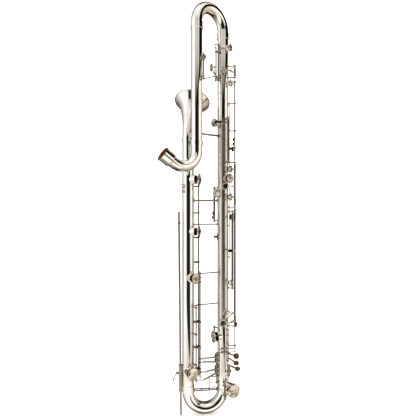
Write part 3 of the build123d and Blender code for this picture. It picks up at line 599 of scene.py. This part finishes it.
def cup_trim(name, key):
    centre, axis, radius, _ = closing_axis(nodes[name])
    outer, behind = cup_size(key, centre, axis, radius)
    bead = min(0.55 * mm, outer * 0.07)
    mesh = bmesh.new()
    ring = [mesh.verts.new((outer + bead * 0.35 + bead * cos(turn), 0, behind - bead + bead * sin(turn)))
            for turn in (2 * pi * step / 10 for step in range(10))]
    edges = [mesh.edges.new(pair) for pair in zip(ring, ring[1:] + ring[:1])]
    bmesh.ops.spin(mesh, geom=ring + edges, cent=(0, 0, 0), axis=(0, 0, 1), angle=2 * pi, steps=64,
                   use_merge=True, use_duplicate=False)
    bmesh.ops.remove_doubles(mesh, verts=mesh.verts, dist=1e-6)
    bmesh.ops.recalc_face_normals(mesh, faces=mesh.faces)
    aim = Vector((0, 0, 1)).rotation_difference(-axis).to_matrix().to_4x4()
    bmesh.ops.transform(mesh, matrix=Matrix.Translation(centre) @ aim, verts=mesh.verts)
    piece = piece_from(mesh, key + "_rim", fitting_silver)
    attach(piece, body_of_node[key])
    return outer, behind


for name in pad_nodes:
    outer, behind = cup_trim(name, name.removesuffix("_pad"))
    print(name, "cup", round(outer / mm, 1), "mm, back", round(behind / mm, 1), "mm")

# %% [markdown]
# ## Slender rods on the key tube
# The photograph shows more thin rods on the key tube than the CAD model holds: one long rod beside
# the upper keys, one in front of the tube above the lower bow, and two short ones across it. They
# are trim on the tube here. Each is spun from one section with collars, and stands on turned posts.

# %% Build the slender rods
def standing_tube(name):
    """The axis and the radius of a standing tube, from the circle at its top."""
    points = np.array([vertex.co for vertex in nodes[name].data.vertices])
    circle = points[points[:, 2] > points[:, 2].max() - 0.01 * mm]
    low, high = circle.min(0), circle.max(0)
    return Vector((low + high) / 2), float(high[0] - low[0]) / 2


def rod_section(radius, length, collars):
    """Half a section of a rod with a collar at each share of its length."""
    half = length / 2
    section = [(0.0, -half), (radius * 0.7, -half), (radius, -half + radius * 0.5)]
    for share in collars:
        at = -half + share * length
        section += [(radius, at - radius), (radius * 1.5, at - radius * 0.7), (radius * 1.5, at + radius * 0.7),
                    (radius, at + radius)]
    return section + [(radius, half - radius * 0.5), (radius * 0.7, half), (0.0, half)]


def post_section(radius, height):
    """Half a section of a turned post, from its foot to its ball."""
    outline = ((0.0, 0.0), (1.9, 0.0), (1.7, 0.12), (0.85, 0.32), (0.8, 0.5), (1.35, 0.62), (1.6, 0.8),
               (1.3, 0.95), (0.5, 1.0), (0.0, 1.0))
    return tuple((radius * out_by, height * up_by) for out_by, up_by in outline)


def trim(name, section, centre, axis, steps):
    piece = spun_piece(name, section, centre, axis, steps)
    piece.data.materials.append(fitting_silver)
    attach(piece, "root")
    return piece


tube_middle, tube_radius = standing_tube("key_tube")
foot_depth = 0.4 * mm


def on_posts(name, angle, stand_off, low, high, radius, posts):
    """A standing rod beside the key tube, held by posts at shares of its length."""
    outward = Vector((cos(radians(angle)), sin(radians(angle)), 0))
    place = tube_middle + outward * (tube_radius + stand_off)
    length = high - low
    trim(name, rod_section(radius, length, posts), Vector((place.x, place.y, (low + high) / 2)), Vector((0, 0, 1)), 20)
    for number, share in enumerate(posts, 1):
        foot = tube_middle + outward * (tube_radius - foot_depth)
        foot.z = low + share * length
        trim(f"{name}_post_{number}", post_section(radius, stand_off + foot_depth + radius * 1.4), foot, outward, 20)


def across_tube(name, height, left, right, radius):
    """A short level rod in front of the key tube, on two posts."""
    front = Vector((0, -1, 0))
    stand_off = 3.2 * mm
    middle = Vector((tube_middle.x + (left + right) / 2, tube_middle.y - tube_radius - stand_off, height))
    trim(name, rod_section(radius, right - left, (0.12, 0.5, 0.88)), middle, Vector((1, 0, 0)), 20)
    for number, offset in enumerate((-5 * mm, 6 * mm), 1):
        depth = (tube_radius ** 2 - offset ** 2) ** 0.5 - foot_depth
        foot = Vector((tube_middle.x + offset, tube_middle.y - depth, height))
        reach = tube_radius + stand_off - depth + radius * 1.2
        trim(f"{name}_post_{number}", post_section(radius, reach), foot, front, 20)


on_posts("upper_long_rod", -12.0, 3.0 * mm, 424 * mm, 862 * mm, 1.1 * mm, (0.02, 0.22, 0.41, 0.63, 0.83, 0.985))
on_posts("lower_front_rod", -52.0, 4.2 * mm, 143 * mm, 236 * mm, 1.4 * mm, (0.04, 0.25, 0.58, 0.8, 0.96))
for number, height in enumerate((182 * mm, 172 * mm), 1):
    across_tube(f"cross_rod_{number}", height, -14 * mm, 33 * mm, 1.3 * mm)
print("slender rods on a tube of radius", round(tube_radius / mm, 2), "mm")

# %% [markdown]
# ## Camera
# The photograph was taken level, from a little to the left of the front, with the lens at about the
# middle of the instrument. The two tubes lean together slightly towards the top in it, which fixes
# the distance: a little over a metre. The image is 416 pixels square.

# %% Place the camera
image_size = 416
focal_pixels = 385.0
horizon_row = 205.0
sensor = 36.0
camera_place = Vector((-0.1105, -1.0544, 0.578))
camera_turn = 10.0
camera_data = bpy.data.cameras.new("studio_camera")
camera_data.sensor_width = sensor
camera_data.lens = sensor * focal_pixels / image_size
camera_data.shift_y = (horizon_row - image_size / 2) / image_size
camera_data.clip_start = 0.01
camera = bpy.data.objects.new("studio_camera", camera_data)
camera.location = camera_place
camera.rotation_euler = (radians(90), 0, radians(-camera_turn))
bpy.context.scene.collection.objects.link(camera)
bpy.context.scene.camera = camera
print("lens", round(camera_data.lens, 2), "mm, shift", round(camera_data.shift_y, 4))

# %% [markdown]
# ## Floor
# The backdrop is white paper. The floor is one large sheet with the same pale finish, so it meets the
# background without an edge. A mirror tube would show the sheet instead of the studio, so the sheet
# is left out of the reflections.

# %% Lay the floor
def paper():
    material, tree, shader = new_finish("backdrop_paper")
    fibre = noise(tree, object_coordinates(tree), 400.0, 3.0)
    plug(tree, shader.inputs["Base Color"],
         blend_colours(tree, remap(fibre, 0.3, 0.7), (0.92, 0.92, 0.92, 1), (0.95, 0.95, 0.95, 1)))
    shader.inputs["Roughness"].default_value = 0.95
    shader.inputs["Specular IOR Level"].default_value = 0.0
    return material


floor_mesh = bmesh.new()
bmesh.ops.create_grid(floor_mesh, x_segments=8, y_segments=8, size=12.0)
floor_data = bpy.data.meshes.new("studio_floor")
floor_mesh.to_mesh(floor_data)
floor_mesh.free()
floor_data.materials.append(paper())
floor = bpy.data.objects.new("studio_floor", floor_data)
floor.location.z = cad_box[0].z
floor.visible_glossy = False
bpy.context.scene.collection.objects.link(floor)
print("floor at", round(floor.location.z, 4))

# %% [markdown]
# ## Studio light
# Polished metal is lit by what it mirrors, so the studio is painted as a world. The colours round the
# horizon go from white on the left to cream on the right, and to brown behind the instrument, which
# draws the thin outlines of tubes and rods. In front stands a dark panel, and a narrow dark strip
# climbs from its top right corner. Only mirrored rays see this, and everything else sees soft white.

# %% Follow a list of colours
def ramp(value, low, high, stops):
    """A colour that follows a list of (place, colour) between two limits."""
    place = add_node(value.tree, "ShaderNodeMapRange", None, Value=value, From_Min=low, From_Max=high)
    made = add_node(value.tree, "ShaderNodeValToRGB", None, Fac=out(place))
    elements = made.color_ramp.elements
    while len(elements) < len(stops):
        elements.new(0.5)
    for element, (at, colour) in zip(elements, stops):
        element.position = (at - low) / (high - low)
        element.color = (*colour, 1)
    return out(made, "Color")


def curve(value, low, high, stops):
    """A number that follows a list of (place, number) between two limits."""
    least, most = min(n for _, n in stops), max(n for _, n in stops)
    grey = [(at, ((n - least) / (most - least),) * 3) for at, n in stops]
    return out(add_node(value.tree, "ShaderNodeRGBToBW", None, Color=ramp(value, low, high, grey))) \
        * (most - least) + least


def between(value, low, high, soft):
    """One between two limits, which may be wires, with soft edges."""
    rise = (value - low) / soft + 0.5
    fall = (high - value) / soft + 0.5
    return clamp(rise) * clamp(fall)


def clamp(value):
    return out(add_node(value.tree, "ShaderNodeClamp", None, Value=value), 0)


print("ramps ready")

# %% [markdown]
# ## The colours of the studio
# Azimuth is measured from the camera's side and grows to the right, elevation from the horizon, both
# in degrees. Each list is read off from the stripes that the photograph's tubes show.

# %% Colours by direction
round_horizon = (
    (-180, (0.03, 0.028, 0.025)), (-152, (0.08, 0.075, 0.07)), (-134, (0.28, 0.265, 0.245)),
    (-117, (0.44, 0.42, 0.40)), (-100, (0.68, 0.65, 0.61)), (-85, (0.92, 0.90, 0.87)),
    (-72, (1.0, 1.0, 1.0)), (-48, (1.0, 0.99, 0.97)), (-34, (0.80, 0.79, 0.76)), (44, (0.72, 0.68, 0.62)),
    (58, (0.95, 0.91, 0.84)), (74, (1.0, 0.98, 0.92)), (87, (0.84, 0.78, 0.69)), (101, (0.62, 0.55, 0.45)),
    (118, (0.54, 0.46, 0.37)), (136, (0.38, 0.31, 0.235)), (152, (0.13, 0.10, 0.075)),
    (180, (0.04, 0.03, 0.025)),
)
in_front = (
    (-90, (0.20, 0.16, 0.11)), (-75, (0.26, 0.21, 0.15)), (-66, (0.60, 0.55, 0.47)), (-57, (1, 0.98, 0.95)),
    (-34, (1, 1, 0.98)), (-25, (0.97, 0.95, 0.91)), (-22.5, (0.50, 0.47, 0.42)), (-21, (0.10, 0.09, 0.08)),
    (-19.5, (0.015, 0.014, 0.013)),
    (14, (0.006, 0.006, 0.006)), (15.5, (0.045, 0.043, 0.04)), (16.4, (0.11, 0.105, 0.10)),
    (18.2, (0.24, 0.23, 0.21)), (20, (0.40, 0.385, 0.36)), (22, (0.52, 0.50, 0.46)),
    (30, (0.58, 0.56, 0.52)), (40, (0.80, 0.78, 0.74)), (60, (1.0, 1.0, 0.98)), (90, (0.90, 0.89, 0.87)),
)
overhead = (
    (-90, (0.20, 0.16, 0.11)), (-75, (0.24, 0.19, 0.14)), (-66, (0.40, 0.34, 0.27)), (-57, (0.58, 0.52, 0.44)),
    (-40, (0.64, 0.58, 0.50)), (-26, (0.80, 0.76, 0.70)), (-17, (1, 1, 1)), (30, (1, 1, 1)),
    (42, (0.80, 0.79, 0.77)), (60, (0.95, 0.95, 0.94)), (90, (1, 1, 1)),
)
panel_left = ((-28, -60.0), (-24.5, -60.0), (-22.5, 20.0), (-21, 12.0), (-19, -2.0), (-17, -16.0),
              (-14, -29.0), (14, -29.0), (40, -36.0))
panel_right = ((-28, 54.0), (-19, 52.0), (-14, 44.0), (40, 43.0))
strip_left = ((14.4, -8.0), (15.6, 2.0), (16.4, 8.0), (17.4, 26.0), (18.6, 42.0), (20.7, 50.0),
              (26, 52.0), (30, 60.0), (45, 75.0))
strip_right = ((14.4, 41.0), (16.4, 43.0), (17.4, 46.0), (18.6, 80.0), (20.7, 122.0), (24, 140.0),
               (26, 147.0), (45, 150.0))
print("studio colours", len(round_horizon), len(in_front), len(overhead))

# %% Paint the studio
world = bpy.data.worlds.new("white_studio")
bpy.context.scene.world = world
world.use_nodes = True
tree = world.node_tree
tree.nodes.clear()
towards = out(add_node(tree, "ShaderNodeTexCoord"), "Generated")
axes = add_node(tree, "ShaderNodeSeparateXYZ", None, Vector=towards)
east, north, up = out(axes, "X"), out(axes, "Y"), out(axes, "Z")
turn = radians(camera_turn)
ahead = east * (-sin(turn)) + north * (-cos(turn))
side = east * cos(turn) + north * (-sin(turn))
azimuth = side.maths("ARCTAN2", ahead) * (180 / pi)
elevation = up.maths("ARCSINE") * (180 / pi)
walls = ramp(azimuth, -180, 180, round_horizon)
heights = ramp(elevation, -90, 90, overhead)
tone = out(add_node(tree, "ShaderNodeMix", {"data_type": "RGBA", "blend_type": "MULTIPLY"}), 2)
plug(tree, tone.socket.node.inputs[0], 1.0)
plug(tree, tone.socket.node.inputs[6], walls)
plug(tree, tone.socket.node.inputs[7], heights)
front_panel = between(azimuth, curve(elevation, -28, 40, panel_left), curve(elevation, -28, 40, panel_right), 13.0)
tone = blend_colours(tree, front_panel, tone, ramp(elevation, -90, 90, in_front))
strip = between(azimuth, curve(elevation, 14.4, 45, strip_left), curve(elevation, 14.4, 45, strip_right), 6.0)
strip = strip * remap(elevation, 13.8, 15.0) * remap(elevation, 45.0, 52.0, 1.0, 0.0)
tone = blend_colours(tree, strip, tone, (0.004, 0.004, 0.004, 1))
bright = add_node(tree, "ShaderNodeVectorMath", {"operation": "SCALE"}, Scale=1.16)
plug(tree, bright.inputs[0], tone)
path = add_node(tree, "ShaderNodeLightPath")
tone = blend_colours(tree, out(path, "Is Glossy Ray"), (1.8, 1.8, 1.8, 1), out(bright))
background = add_node(tree, "ShaderNodeBackground", None, Color=tone, Strength=1.0)
output = add_node(tree, "ShaderNodeOutputWorld")
tree.links.new(background.outputs[0], output.inputs[0])
bpy.context.scene.view_settings.view_transform = "Standard"
print("studio painted")
